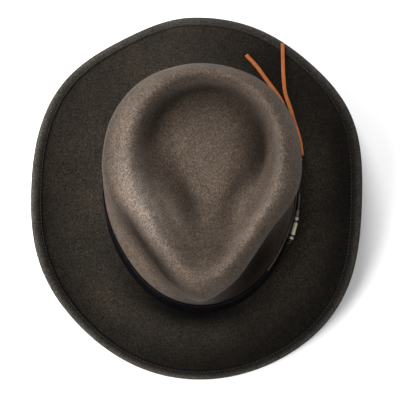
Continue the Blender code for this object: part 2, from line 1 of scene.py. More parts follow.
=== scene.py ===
"""Outback hat: felt, leather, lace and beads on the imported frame, with the camera, the floor and the light.

The hat stands brim down on the floor. +Z is up, the front of the hat looks along -Y and +X is the wearer's
left. Turns are measured in degrees round the crown, from the front (0) towards the wearer's left (90).
Lengths are in metres. The tables give shares of the named sizes above them.
"""

import math

import bpy
import numpy as np
from mathutils import Matrix, Vector


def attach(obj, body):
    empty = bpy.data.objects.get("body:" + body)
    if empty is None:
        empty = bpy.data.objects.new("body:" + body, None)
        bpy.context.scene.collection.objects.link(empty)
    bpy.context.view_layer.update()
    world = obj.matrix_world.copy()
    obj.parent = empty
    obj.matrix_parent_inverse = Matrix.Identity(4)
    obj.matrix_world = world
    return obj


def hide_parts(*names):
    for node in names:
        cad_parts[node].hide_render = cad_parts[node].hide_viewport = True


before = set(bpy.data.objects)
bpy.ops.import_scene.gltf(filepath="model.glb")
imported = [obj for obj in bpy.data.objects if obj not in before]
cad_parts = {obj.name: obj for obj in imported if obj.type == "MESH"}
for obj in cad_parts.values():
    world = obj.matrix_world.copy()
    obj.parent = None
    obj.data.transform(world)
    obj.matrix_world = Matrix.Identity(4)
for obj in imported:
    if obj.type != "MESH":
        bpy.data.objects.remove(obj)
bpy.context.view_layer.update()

# Head opening and felt
HEAD_LENGTH = 0.203
HEAD_WIDTH = 0.166
CROWN_FELT = 0.0025
BRIM_FELT = 0.003
GAP = 0.0003

# Crown
CROWN_HEIGHT = 0.108
CREASE_DEPTH = 0.031
FLOOR_DOME = 0.005
CREASE_TWIST = 3.0
CREASE_SHIFT = 0.007

# Brim
BRIM_WIDTH = 0.071
BRIM_DIP = 0.012
BRIM_RISE_LEFT = 0.040
BRIM_RISE_RIGHT = 0.025
BRIM_REST = 0.0006
COLLAR_HEIGHT = 0.014
COLLAR_FOLD = 0.005
COLLAR_SLACK = 0.0003
WELT_WIDTH = 0.009
WELT_FELT = 0.0015
WELT_RAMP = 0.09

# The brim's felt: the collar's bevel and foot, where its upper face starts and how far it goes on under the
# edge band as shares of the width, and its rounded rim inside the edge band
COLLAR_BEVEL = 0.0008
COLLAR_FOOT = 0.0015
BREAK_OUT = 0.0006
FACE_START = 0.03
FACE_OVERLAP = 0.03
RIM_INSET = 0.0025
RIM_RADIUS = 0.0012
RIM_DEPTH = 0.0013
RIM_BACK = 0.02
UNDER_OVERLAP = 0.005

# The edge band: radius of its inner edge, its swell, how it is tucked into the felt above and below, and how
# far it goes back under the brim
WELT_SOFT = 0.0007
WELT_SWELL = 0.0004
WELT_SINK = 0.0001
TUCK_SHARE = 0.004
TUCK_DEPTH = 0.0004
UNDER_SHARES = (0.01, 0.02)
UNDER_TUCK_SHARE = 0.015
UNDER_TUCK_DEPTH = 0.0006

# Hat band
BAND_HEIGHT = 0.022
BAND_LEATHER = 0.0016
BAND_FLARE = 0.0055
BAND_SEAT = 0.0006

# Lace, knot and beads
LACE_WIDTH = 0.0036
LACE_LEATHER = 0.002
LACE_REST = 0.0005
LACE_CORNER = 0.0004
THONG_DIAMETER = 0.0015
THONG_SLACK = 0.0001
KNOT_LENGTH = 0.008
KNOT_WIDTH = 0.0055
BEAD_DIAMETER = 0.004
BEAD_BORE = 0.0022
BEAD_HEIGHT = 0.55
BEAD_ROUNDING = 0.9
BEAD_BELLY = 0.00012
PATH_MARGINS = (20, 10)
KNOT_TURN = 104.0
BEAD_TURN = 56.0
STAND_OFF_START = 84.0
STAND_OFF_EASE = 7.0
FRONT_LEAD = 0.004
BACK_LEAD = 0.009

# The knot: where it sits past the thong's top and the turn that it points to, how often the lace winds round
# it, the winding's radius and run along the knot with their waves, the lace's half width and half thickness
# in it, and the core's radius
KNOT_SHIFT = 1.2
KNOT_AHEAD = 4.0
KNOT_WINDS = 2.5
KNOT_COIL = 0.0017
KNOT_COIL_WAVE = 0.0002
KNOT_RUN = 0.62
KNOT_RUN_WAVE = 0.0008
KNOT_LACE = (0.00105, 0.00075)
KNOT_CORE = 0.0012

# The stitches: how far apart, how long and how thick they are, their place inside the edge band, and their
# height at five places along each
STITCH_PITCH = 0.0034
STITCH_LENGTH = 0.0024
STITCH_RADIUS = 0.00022
STITCH_SHARE = 0.02
STITCH_REST = 0.0001
STITCH_RISE = (-0.0001, 0.00018, 0.00024, 0.00018, -0.0001)

# How finely the surfaces are divided
CROWN_SEGMENTS = 300
CROWN_STEPS = (4, 5, 9, 9, 14, 9, 10, 9, 3)
BRIM_SEGMENTS = 420
BAND_SEGMENTS = 360
BEAD_SIDES = 28
TAIL_POINTS = 64
THONG_POINTS = 120
THONG_SIDES = 14
KNOT_POINTS = 90
KNOT_SIDES = 12
STITCH_SIDES = 6

# A row for each section round the crown: shares of the crown's base radius at the band's top, waist, middle,
# shoulder, ridge, crease wall and crease floor, then the ridge's share of the height and the crease's share
# of its depth
CROWN_COLUMNS = ("turn", "band", "waist", "middle", "shoulder", "ridge", "wall", "floor", "height", "depth")
CROWN_ROWS = (
    (0, 0.990, 0.980, 0.955, 0.930, 0.790, 0.700, 0.560, 1.000, 0.45),
    (10, 0.988, 0.958, 0.885, 0.895, 0.750, 0.655, 0.500, 0.998, 0.55),
    (20, 0.982, 0.915, 0.805, 0.840, 0.675, 0.575, 0.430, 0.992, 0.70),
    (30, 0.972, 0.868, 0.755, 0.785, 0.630, 0.525, 0.380, 0.985, 0.84),
    (45, 0.960, 0.838, 0.722, 0.752, 0.595, 0.490, 0.345, 0.975, 0.95),
    (60, 0.964, 0.860, 0.748, 0.775, 0.605, 0.490, 0.340, 0.970, 1.00),
    (75, 0.980, 0.925, 0.840, 0.850, 0.640, 0.520, 0.360, 0.965, 1.00),
    (90, 0.993, 0.985, 0.945, 0.905, 0.680, 0.570, 0.410, 0.960, 1.00),
    (105, 0.998, 1.000, 0.978, 0.936, 0.720, 0.628, 0.480, 0.960, 1.00),
    (120, 1.003, 1.011, 1.001, 0.962, 0.757, 0.682, 0.560, 0.960, 1.00),
    (135, 1.005, 1.014, 1.006, 0.967, 0.783, 0.718, 0.620, 0.965, 1.00),
    (150, 1.003, 1.007, 0.994, 0.952, 0.795, 0.738, 0.655, 0.965, 1.00),
    (165, 1.000, 0.996, 0.970, 0.922, 0.795, 0.742, 0.670, 0.965, 1.00),
    (180, 1.000, 0.992, 0.960, 0.912, 0.790, 0.740, 0.672, 0.965, 1.00),
)
WAIST_HEIGHT = 0.34
MIDDLE_HEIGHT = 0.62
SHOULDER_HEIGHT = 0.83
FLOOR_CENTRE = 0.12
BAND_LEVEL = 1
MIDDLE_LEVEL = 3
SHOULDER_LEVEL = 4
FLOOR_LEVEL = 7

# A row for each soft fold in the crease, from one end to the other: sides and width as shares of the crown's
# breadth, backs of its length, and how far it is raised or sunk as a share of the crease's depth
FOLD_COLUMNS = ("side", "back", "side_end", "back_end", "width", "rise")
FOLD_ROWS = (
    (-0.41, -0.06, -0.22, -0.36, 0.055, 0.08),
    (-0.28, 0.05, -0.06, -0.30, 0.065, -0.06),
)

# A row for each place where shade is painted into the felt, or a highlight if the amount is below zero.
# Its place is a level on the crown or a share of the brim's width.
PAINTED_LIGHT_COLUMNS = ("turn", "place", "turn_reach", "place_reach", "amount")
# Painted shade on the crown's crease walls, crease floor and pinches, then painted highlights on its ridge
CROWN_PAINTED_LIGHT = (
    (190, 6.4, 50, 0.60, 0.70),
    (122, 7.0, 45, 0.52, 0.96),
    (85, 6.1, 50, 0.50, 0.36),
    (305, 7.35, 54, 0.48, 0.62),
    (318, 4.05, 40, 0.42, 1.00),
    (334, 4.25, 16, 0.38, 0.90),
    (316, 2.5, 35, 0.46, 1.00),
    (245, 4.0, 40, 0.38, 0.55),
    (150, 4.0, 25, 0.35, 0.38),
    (190, 4.5, 40, 0.45, 0.15),
    (33, 1.8, 38, 1.40, 1.00),
    (14, 1.0, 26, 0.90, 0.95),
    (285, 0.7, 30, 0.50, 0.50),
    (0, 6.7, 28, 0.80, 0.40),
    # Painted highlights along the crown's ridge and the crease's flank
    (272, 5.05, 40, 0.50, -0.75),
    (304, 4.85, 30, 0.35, -0.70),
    (300, 5.55, 34, 0.38, -1.00),
    (312, 6.35, 26, 0.34, -0.65),
    (60, 5.0, 40, 0.35, -0.30),
)
# Painted shade over the brim, deepest on the wearer's left, with a painted shadow just in front of the crown
BRIM_PAINTED_SHADE = (
    (20, 0.85, 75, 0.38, 0.70),
    (85, 0.85, 60, 0.30, 0.80),
    (145, 0.50, 28, 0.60, 0.70),
    (300, 0.85, 55, 0.20, 0.42),
    (222, 0.50, 30, 0.70, 0.36),
    (354, 0.12, 46, 0.20, 1.00),
)

# How much shade is painted on the edge band, ring by ring from its inner edge out over the rim. The others
# get none.
EDGE_PAINTED_SHADE = (1.0, 1.0, 1.0, 1.0, 1.0, 0.97, 0.94, 0.88, 0.78, 0.62, 0.36, 0.1, 0.05, 0.0, 0.0, 0.0, 0.0)

# How much shade is painted on the edge band on the wearer's left, and how much weaker the painted shade on
# its inner rings is at the back
EDGE_SHADE = 0.62
EDGE_SHADE_TURN = 85.0
EDGE_SHADE_REACH = 70.0
EDGE_FADE = 0.5
EDGE_FADE_REACH = 50.0

# A row for each section round the band: how much of its flare stands out at its foot
BAND_COLUMNS = ("turn", "flare")
BAND_ROWS = (
    (0, 1.00),
    (15, 0.92),
    (30, 0.60),
    (45, 0.30),
    (60, 0.16),
    (90, 0.12),
    (120, 0.12),
    (150, 0.20),
    (180, 0.30),
)

# The rings of the band's section: shares of its height up its inner face and down its outer one, and how far
# out the rounded edges lie, from the inner face (-1) to the outer one (0)
BAND_INNER_RISES = (0.04, 0.3, 0.6, 0.9, 0.985)
BAND_OUTER_RISES = (0.985, 0.9, 0.75, 0.6, 0.45, 0.3, 0.15, 0.05)
BAND_EDGE_OUTS = (-0.8, -0.2)
BAND_TOP_RINGS = (5, 6)
BAND_FOOT_RISE = 0.04
BAND_FOOT_LIFT = 0.0003

# The turns between which a highlight is painted on the band's cut top edge
EDGE_HIGHLIGHT_TURNS = (36, 112)

# A row for each section round the brim: how far its edge is rolled up, from dipped (0) to raised (1), and
# its share of the brim's width on the wearer's left and on the right
BRIM_COLUMNS = ("turn", "roll", "left", "right")
BRIM_ROWS = (
    (0, 0.00, 0.990, 0.990),
    (22.5, 0.02, 1.019, 1.004),
    (45, 0.28, 1.032, 1.005),
    (67.5, 0.76, 0.958, 1.024),
    (90, 1.00, 0.978, 0.989),
    (112.5, 0.76, 0.993, 0.999),
    (135, 0.28, 0.980, 1.022),
    (157.5, 0.02, 1.020, 0.962),
    (180, 0.00, 1.000, 1.000),
)
DIP_CURVE = 1.35
DIP_LEVEL = 1.8
ROLL_CURVE = 1.9

# The beads on the thong, from the front one to the back one: name, slot, length, share of the bead diameter
BEADS = (
    ("bead_spacer_1", "horn", 0.0014, 0.75),
    ("bead_pale_front", "pale_bead", 0.0024, 0.95),
    ("bead_spacer_2", "horn", 0.0012, 0.75),
    ("bead_bone_tube", "bone", 0.0122, 1.0),
    ("bead_spacer_3", "horn", 0.0012, 0.75),
    ("bead_pale_back", "pale_bead", 0.0035, 0.95),
    ("bead_grey", "grey_bead", 0.0063, 0.80),
    ("bead_horn_tube", "horn", 0.0152, 1.0),
)

# The lace's two free ends: turn, distance out from the band, height above the brim, lean of the flat side in
# degrees (90 against the band, 0 flat on the brim). The first point is at the knot.
TAIL_LEFT = (
    (106.3, 0.0046, 0.0165, 90),
    (109.6, 0.0073, 0.0150, 90),
    (114.0, 0.0096, 0.0125, 88),
    (117.9, 0.0109, 0.0098, 82),
    (121.7, 0.0123, 0.0072, 74),
    (126.0, 0.0142, 0.0046, 60),
    (130.4, 0.0163, 0.0022, 36),
    (135.8, 0.0195, 0.0002, 6),
    (141.0, 0.0219, 0.0000, 0),
    (146.1, 0.0243, 0.0000, 0),
    (152.2, 0.0297, 0.0000, 0),
    (159.0, 0.0366, 0.0000, 0),
)
TAIL_RIGHT = (
    (106.0, 0.0073, 0.0165, 90),
    (109.2, 0.0099, 0.0150, 90),
    (113.5, 0.0123, 0.0123, 88),
    (117.3, 0.0138, 0.0096, 82),
    (121.2, 0.0154, 0.0070, 74),
    (125.4, 0.0176, 0.0044, 60),
    (129.3, 0.0208, 0.0020, 36),
    (133.4, 0.0242, 0.0002, 6),
    (136.7, 0.0276, 0.0000, 0),
    (139.9, 0.0338, 0.0000, 0),
    (143.2, 0.0430, 0.0000, 0),
    (146.2, 0.0540, 0.0000, 0),
    (148.7, 0.0655, 0.0000, 0),
)

CROWN_LENGTH = HEAD_LENGTH / 2 + BRIM_FELT + GAP + CROWN_FELT
CROWN_BREADTH = HEAD_WIDTH / 2 + BRIM_FELT + GAP + CROWN_FELT
BREAK_HEIGHT = BRIM_DIP + BRIM_FELT - BRIM_REST
STAND_OFF = THONG_DIAMETER + 2 * GAP + THONG_SLACK
FULL_TURN = 360.0
WELT_START = 1 - WELT_WIDTH / BRIM_WIDTH

# The camera stands above the hat, a little in front of it and to its right
CAMERA_BACK = (-0.03, -0.122, 1.0)
CAMERA_DISTANCE = 0.72
CAMERA_TARGET = (0.0015, -0.0059, 0.0)
CAMERA_ROLL = 2.3
CAMERA_FOCUS = 741.6
CAMERA_SHIFT = (0.00825, -0.00125)
PICTURE_HALF = 200

# The studio: the floor's half width and its colour, the even light of the surroundings, and a row for each
# soft lamp: name, place, its size, its share of the light and its colour
FLOOR_REACH = 4.0
FLOOR_DROP = 0.0002
FLOOR_COLOUR = (0.93, 0.93, 0.93, 1.0)
WHITE = (1.0, 1.0, 1.0)
WORLD = 0.58
LIGHT = 9.6
LIGHT_TARGET = (0, 0, 0.03)
LIGHTS = (
    ("low_left", (-0.55, 0.2, 0.3), 0.3, 0.38, (1.0, 0.99, 0.97)),
    ("front_left", (-0.45, -0.3, 0.55), 0.35, 0.50, (0.97, 0.985, 1.0)),
    ("back", (-0.1, 0.45, 0.6), 0.35, 0.46, WHITE),
    ("left", (-0.6, 0.0, 0.5), 0.35, 0.10, WHITE),
)

# A row for each felt: name, colour, warmer colour, strength of the speckle and fuzz
FELTS = (
    ("crown_wool", (0.0645, 0.0482, 0.0370), (0.070, 0.0505, 0.0375), 0.36, 0.06),
    ("brim_wool", (0.0184, 0.0152, 0.0116), (0.0216, 0.0169, 0.0124), 0.52, 0.03),
    ("edge_wool", (0.045, 0.041, 0.0345), (0.049, 0.043, 0.036), 0.45, 0.03),
)

# The painted shade colour and the painted highlight colour of the same felts
FELT_PAINTED_LIGHT = (
    ((0.0062, 0.0038, 0.0024), (0.148, 0.117, 0.097)),
    ((0.0009, 0.0007, 0.0005), (0.036, 0.031, 0.025)),
    ((0.004, 0.0034, 0.0027), (0.09, 0.08, 0.07)),
)

# A row for each leather: name, colour, rubbed colour, roughness, grain, depth of the grain, shine
LEATHERS = (
    ("lace_suede", (0.25, 0.070, 0.018), (0.32, 0.100, 0.028), 0.75, 900.0, 0.0001, 0.15),
    ("thong_leather", (0.045, 0.024, 0.013), (0.075, 0.042, 0.024), 0.6, 900.0, 0.0001, 0.2),
    ("edge_thread", (0.028, 0.026, 0.022), (0.042, 0.038, 0.032), 0.7, 1500.0, 0.00005, 0.15),
    ("band_face", (0.0012, 0.0012, 0.0016), (0.0026, 0.0026, 0.0034), 0.38, 700.0, 0.00012, 0.06),
    # The band's cut edge: its light colour is a painted highlight along the top edge
    ("band_cut_edge_highlight", (0.036, 0.031, 0.026), (0.075, 0.065, 0.054), 0.6, 900.0, 0.00008, 0.12),
)

# A row for each bead material: slot, colour, colour of its streaks, roughness, stretch of the streaks
BEAD_LOOKS = (
    ("bone", (0.66, 0.60, 0.44), (0.56, 0.48, 0.32), 0.35, (1.0, 1.0, 0.2)),
    ("horn", (0.012, 0.009, 0.007), (0.035, 0.024, 0.016), 0.22, (1.0, 1.0, 0.2)),
    ("pale_bead", (0.60, 0.57, 0.52), (0.48, 0.45, 0.40), 0.3, (1.0, 1.0, 1.0)),
    ("grey_bead", (0.16, 0.15, 0.14), (0.11, 0.10, 0.09), 0.4, (1.0, 1.0, 1.0)),
)


def spline_weights(knots, places):
    """The matrix that turns values at the knots into a smooth cubic curve's values at the places."""
    knots = np.asarray(knots, float)
    places = np.atleast_1d(np.asarray(places, float))
    count = len(knots)
    gaps = np.diff(knots)
    bend = np.eye(count)
    pull = np.zeros((count, count))
    for i in range(1, count - 1):
        bend[i, i - 1 : i + 2] = gaps[i - 1] / 6, (gaps[i - 1] + gaps[i]) / 3, gaps[i] / 6
        pull[i, i - 1 : i + 2] = 1 / gaps[i - 1], -1 / gaps[i - 1] - 1 / gaps[i], 1 / gaps[i]
    curvature = np.linalg.solve(bend, pull)
    span = np.clip(np.searchsorted(knots, places, side="right") - 1, 0, count - 2)
    after = (places - knots[span]) / gaps[span]
    weights = np.zeros((len(places), count))
    for i, (k, share) in enumerate(zip(span, after)):
        rest = 1 - share
        weights[i, k] += rest
        weights[i, k + 1] += share
        weights[i] += (rest**3 - rest) * gaps[k] ** 2 / 6 * curvature[k]
        weights[i] += (share**3 - share) * gaps[k] ** 2 / 6 * curvature[k + 1]
    return weights


def around(rows, turns):
    """A table's columns read smoothly at any turn. Its rows are for the wearer's left and are mirrored."""
    table = np.array(rows, float)
    mirrored = table[-2:0:-1].copy()
    mirrored[:, 0] = FULL_TURN - mirrored[:, 0]
    lap = np.concatenate([table, mirrored])
    laps = [lap + np.array([FULL_TURN * k] + [0] * (lap.shape[1] - 1)) for k in (-1, 0, 1)]
    whole = np.concatenate(laps)
    return spline_weights(whole[:, 0], np.asarray(turns) % FULL_TURN) @ whole[:, 1:]


def read_table(names, rows, turns):
    """A table's columns at the turns, by name."""
    return dict(zip(names[1:], around(rows, turns).T))


def direction(turn):
    """The level unit vector that points out of the crown at a turn."""
    angle = np.radians(turn)
    return np.stack([np.sin(angle), -np.cos(angle)], -1)


def base_radius(turn):
    """The crown's outer oval where it meets the brim."""
    angle = np.radians(turn)
    return 1 / np.sqrt((np.sin(angle) / CROWN_BREADTH) ** 2 + (np.cos(angle) / CROWN_LENGTH) ** 2)


def smooth_step(value):
    """Eases from 0 to 1."""
    value = np.clip(value, 0, 1)
    return value * value * (3 - 2 * value)


def crown_controls(turns):
    """Radius and height of the crown's section at its control points, from the base over to the centre."""
    table = read_table(CROWN_COLUMNS, CROWN_ROWS, turns)
    radius = base_radius(turns)
    even = np.ones_like(radius)
    top = table["height"] * CROWN_HEIGHT
    drop = table["depth"] * CREASE_DEPTH
    centre = even * (CROWN_HEIGHT - CREASE_DEPTH + FLOOR_DOME)
    near = even * FLOOR_CENTRE * CROWN_BREADTH
    radii = [radius] + [table[name] * radius for name in CROWN_COLUMNS[1:8]] + [near, 0 * even, -near]
    heights = [0 * even, BAND_HEIGHT * even]
    heights += [share * CROWN_HEIGHT * even for share in (WAIST_HEIGHT, MIDDLE_HEIGHT, SHOULDER_HEIGHT)]
    heights += [top, top - drop / 2, top - drop, centre, centre, centre]
    return np.array(radii), np.array(heights)


def lengths_along(points):
    """Distances along a path to each of its points."""
    steps = np.linalg.norm(np.diff(points, axis=0), axis=1)
    return np.concatenate([[0], np.cumsum(steps)])


def crown_knots():
    """Distances along the crown's mean section at its control points."""
    radii, heights = crown_controls(np.arange(0, FULL_TURN, 15.0))
    return lengths_along(np.column_stack([radii.mean(1), heights.mean(1)]))


KNOTS = crown_knots()


def crown_surface(turns, levels):
    """Points of the crown's outer surface. Level 0 is its base, and each next level is a control point."""
    places = np.interp(levels, np.arange(len(KNOTS)), KNOTS)
    weights = spline_weights(KNOTS, places)
    radii, heights = crown_controls(turns)
    radius = weights @ radii
    height = weights @ heights
    levels = np.asarray(levels)[:, None]
    twist = CREASE_TWIST * np.clip((levels - BAND_LEVEL) / (MIDDLE_LEVEL - BAND_LEVEL), 0, 1)
    level = direction(np.asarray(turns)[None, :] - twist) * radius[:, :, None]
    level[:, :, 0] += CREASE_SHIFT * smooth_step((levels - SHOULDER_LEVEL) / (FLOOR_LEVEL - SHOULDER_LEVEL))
    return np.dstack([level, BREAK_HEIGHT + GAP + height + crease_folds(level)])


def crease_folds(level):
    """How much the folds in the crease raise the crown's points."""
    height = np.zeros(level.shape[:2])
    size = np.array((CROWN_BREADTH, CROWN_LENGTH))
    for row in FOLD_ROWS:
        fold = dict(zip(FOLD_COLUMNS, row))
        start = size * (fold["side"], fold["back"])
        along = size * (fold["side_end"], fold["back_end"]) - start
        place = np.clip((level - start) @ along / (along @ along), 0, 1)
        away = np.linalg.norm(level - start - place[:, :, None] * along, axis=2)
        height += fold["rise"] * CREASE_DEPTH * np.exp(-((away / (fold["width"] * CROWN_BREADTH)) ** 2))
    return height


def crown_levels(steps):
    """Levels from the base to the centre, with so many steps between the controls."""
    levels = [0.0]
    for first, count in enumerate(steps):
        levels += [first + (k + 1) / count for k in range(count)]
    return np.array(levels)


def brim_rise(turns):
    """Height of the brim's edge over its break."""
    turns = np.asarray(turns, float)
    roll = read_table(BRIM_COLUMNS, BRIM_ROWS, turns)["roll"]
    side = np.sin(np.radians(turns))
    rise = (BRIM_RISE_LEFT + BRIM_RISE_RIGHT) / 2 + side * (BRIM_RISE_LEFT - BRIM_RISE_RIGHT) / 2
    return (1 - roll) * -BRIM_DIP, roll * rise


def brim_run(turns):
    """The brim's level reach from the crown to its edge."""
    dip, rise = brim_rise(turns)
    table = read_table(BRIM_COLUMNS, BRIM_ROWS, turns)
    is_left = np.asarray(turns) % FULL_TURN < FULL_TURN / 2
    width = BRIM_WIDTH * np.where(is_left, table["left"], table["right"])
    return np.sqrt(width**2 - (dip + rise) ** 2)


def brim_section(turns, share, above):
    """Radius and height of a point of the brim: its share of the way out, and how far above the face."""
    turns = np.atleast_1d(np.asarray(turns, float))
    dip, rise = brim_rise(turns)
    run = brim_run(turns)
    share = np.maximum(share, 0.0)
    radius = base_radius(turns) + run * share
    ahead = np.maximum(1 - share**DIP_CURVE, 0.0)
    height = dip * (1 - ahead**DIP_LEVEL) + rise * share**ROLL_CURVE
    fall = dip * DIP_LEVEL * ahead ** (DIP_LEVEL - 1) * DIP_CURVE * share ** (DIP_CURVE - 1)
    slope = (fall + rise * ROLL_CURVE * share ** (ROLL_CURVE - 1)) / run
    length = np.hypot(1, slope)
    return radius - above * slope / length, BREAK_HEIGHT + height + above / length


def brim_point(turns, share, above):
    """Points of the brim in space. The felt is pressed flat where it would reach below the floor."""
    radius, height = brim_section(turns, share, above)
    return np.column_stack([direction(np.atleast_1d(turns)) * radius[:, None], np.maximum(height, 0.0)])


def band_stand_off(turns):
    """How far the band stands off the crown, where the thong runs behind it."""
    turns = np.asarray(turns, float)
    ahead = smooth_step((turns - STAND_OFF_START) / STAND_OFF_EASE)
    behind = smooth_step((KNOT_TURN + STAND_OFF_EASE - turns) / STAND_OFF_EASE)
    return STAND_OFF * ahead * behind


def band_point(turns, rise, out):
    """Points on the band's outer face, at a share of its height, moved out by a distance."""
    turns = np.atleast_1d(np.asarray(turns, float))
    wall = crown_surface(turns, [rise])[0]
    flare = BAND_FLARE * read_table(BAND_COLUMNS, BAND_ROWS, turns)["flare"] * (1 - rise) ** 2
    reach = GAP + band_stand_off(turns) + BAND_LEATHER + flare + out
    wall[:, :2] += direction(turns) * reach[:, None]
    return wall


def outline_centre():
    """Moves the middle of the brim's outline to the origin."""
    points = brim_point(np.arange(0, FULL_TURN, 1.0), 1.0, 0)
    low = points.min(0)
    high = points.max(0)
    return np.array([-(low[0] + high[0]) / 2, -(low[1] + high[1]) / 2, 0.0])


CENTRE = outline_centre()


# Meshes


def link_object(name, data):
    """A new object in the scene."""
    obj = bpy.data.objects.new(name, data)
    bpy.context.collection.objects.link(obj)
    return obj


def add_object(name, points, faces, material):
    """A new smoothly shaded piece, riding on the hat."""
    mesh = bpy.data.meshes.new(name)
    mesh.from_pydata([tuple(point) for point in points], [], faces)
    mesh.update()
    mesh.shade_smooth()
    mesh.materials.append(material)
    obj = link_object(name, mesh)
    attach(obj, "root")
    return obj


def grid_faces(rings, columns, loop_rings):
    """Quads between the rings of a grid whose columns close on themselves."""
    ring = np.arange(rings if loop_rings else rings - 1)[:, None]
    column = np.arange(columns)[None, :]
    above = (ring + 1) % rings
    beside = (column + 1) % columns
    corners = (ring, column), (ring, beside), (above, beside), (above, column)
    faces = np.stack([first * columns + second for first, second in corners], -1)
    return [tuple(int(k) for k in face) for face in faces.reshape(-1, 4)]


def even_turns(segments):
    """Turns evenly spread round the hat."""
    return np.arange(segments) * FULL_TURN / segments


def skin_normals(grid):
    """Outward normals of the crown's surface at each point of its grid, whose last ring is the pole."""
    along = np.gradient(grid, axis=0)
    around_it = np.roll(grid, -1, axis=1) - np.roll(grid, 1, axis=1)
    normals = np.cross(around_it, along)
    normals[-1] = (0, 0, 1)
    return normals / np.linalg.norm(normals, axis=2, keepdims=True)


def mark_painted_light(mesh, rows, turns, places):
    """Stores the painted shade and the painted highlights on the grid that starts the mesh."""
    shape = (len(places), len(turns))
    tone = np.zeros(shape)
    painted_highlight = np.zeros(shape)
    for row in rows:
        spot = dict(zip(PAINTED_LIGHT_COLUMNS, row))
        aside = (turns - spot["turn"] + FULL_TURN / 2) % FULL_TURN - FULL_TURN / 2
        across = np.exp(-((aside / spot["turn_reach"]) ** 2))
        along = np.exp(-(((places - spot["place"]) / spot["place_reach"]) ** 2))
        here = abs(spot["amount"]) * along[:, None] * across[None, :]
        # Positive amounts are painted shade, negative ones painted highlights
        if spot["amount"] > 0:
            tone = 1 - (1 - tone) * (1 - here)
        else:
            painted_highlight = painted_highlight + here
    store(mesh, "painted_shade", tone)
    store(mesh, "painted_highlight", painted_highlight)


def store(mesh, name, values):
    """Stores a value for each point at the start of the mesh, and none for the rest."""
    filled = np.zeros(len(mesh.vertices))
    filled[: values.size] = values.reshape(-1)
    mesh.attributes.new(name, "FLOAT", "POINT").data.foreach_set("value", filled)


# Materials


class Paint:
    """Builds one procedural material, node by node."""

    def __init__(self, name, roughness, **sockets):
        """A material whose shader has the given constant values."""
        self.material = bpy.data.materials.new(name)
        self.material.use_nodes = True
        self.tree = self.material.node_tree
        self.shader = self.tree.nodes["Principled BSDF"]
        self.set(self.shader, {"Roughness": roughness, "Metallic": 0.0, **sockets})
        self.place = self.add("ShaderNodeTexCoord").outputs["Object"]

    def add(self, kind, inputs=None, **settings):
        """A new node with its inputs linked or set."""
        node = self.tree.nodes.new(kind)
        for key, value in settings.items():
            setattr(node, key, value)
        self.set(node, inputs or {})
        return node

    def set(self, node, inputs):
        """Links an input to another node's output, or sets its value."""
        for key, value in inputs.items():
            if isinstance(value, bpy.types.NodeSocket):
                self.tree.links.new(value, node.inputs[key])
            else:
                node.inputs[key].default_value = value

    def noise(self, scale, detail=2.0, rough=0.55, stretch=None):
        """Noise over the surface, with its cells stretched if wanted."""
        place = self.place
        if stretch:
            place = self.add("ShaderNodeMapping", {"Vector": place, "Scale": stretch}).outputs[0]
        inputs = {"Vector": place, "Scale": scale, "Detail": detail, "Roughness": rough}
        return self.add("ShaderNodeTexNoise", inputs).outputs["Fac"]

    def ramp(self, value, low, high, start=0.0, end=1.0):
        """Maps a value between low and high to one between start and end."""
        inputs = {"Value": value, "From Min": low, "From Max": high, "To Min": start, "To Max": end}
        return self.add("ShaderNodeMapRange", inputs).outputs[0]

    def mix(self, share, first, second):
        """A mix of two colours."""
        return self.add("ShaderNodeMix", {0: share, 6: first, 7: second}, data_type="RGBA").outputs[2]

    def bump(self, height, distance, strength, under=None):
        """Low relief, on top of another relief if one is given."""
        inputs = {"Height": height, "Distance": distance, "Strength": strength}
        if under:
            inputs["Normal"] = under
        return self.add("ShaderNodeBump", inputs).outputs[0]

    def times(self, first, second):
        """The product of two values."""
        return self.add("ShaderNodeMath", {0: first, 1: second}, operation="MULTIPLY").outputs[0]

    def attribute(self, name):
        """A value that is stored at the mesh's points."""
        return self.add("ShaderNodeAttribute", attribute_name=name).outputs["Fac"]

    def finish(self, colour, normal):
        """Puts the colour and the relief on the shader."""
        self.set(self.shader, {"Base Color": colour, "Normal": normal})
        return self.material


def scaled(colour, share):
    """A colour made lighter or darker, with its opacity."""
    return tuple(share * part for part in colour) + (1.0,)


def felt(name, colour, warm, speckle, sheen, painted_shade_colour, painted_highlight_colour):
    """Wool felt with soft blotches, a fine speckle and a short fuzz, with painted shade and painted
    highlights mixed into its colour.
    """
    paint = Paint(name, 0.95, **{"Sheen Roughness": 0.5, "Specular IOR Level": 0.07})
    painted_shade = paint.attribute("painted_shade")
    # Less fuzz where shade is painted
    paint.set(paint.shader, {"Sheen Weight": paint.ramp(painted_shade, 0.0, 1.0, sheen, 0.0)})
    blotch = paint.ramp(paint.noise(28.0, 3.0, 0.6), 0.36, 0.64)
    base = paint.mix(blotch, scaled(colour, 0.9), scaled(warm, 1.08))
    # Painted shade, then painted highlights
    base = paint.mix(painted_shade, base, scaled(painted_shade_colour, 1.0))
    base = paint.mix(paint.ramp(paint.attribute("painted_highlight"), 0.0, 1.3), base, scaled(painted_highlight_colour, 1.0))
    cloud = paint.ramp(paint.noise(150.0, 2.0), 0.35, 0.65, 0.90, 1.10)
    speckles = (0.34, 0.66, 1 - speckle, 1 + speckle)
    fleck = paint.ramp(paint.noise(720.0, 2.0, 0.7), *speckles)
    hair = paint.ramp(paint.noise(1300.0, 2.0, 0.6, (1.0, 0.4, 1.0)), *speckles)
    tone = paint.times(paint.times(cloud, fleck), hair)
    mixed = paint.add("ShaderNodeVectorMath", {0: base, "Scale": tone}, operation="SCALE").outputs[0]
    soft = paint.bump(paint.noise(230.0, 2.0), 0.0005, 0.6)
    fine = paint.bump(paint.noise(700.0, 3.0, 0.7), 0.0006, 0.9, soft)
    return paint.finish(mixed, fine)


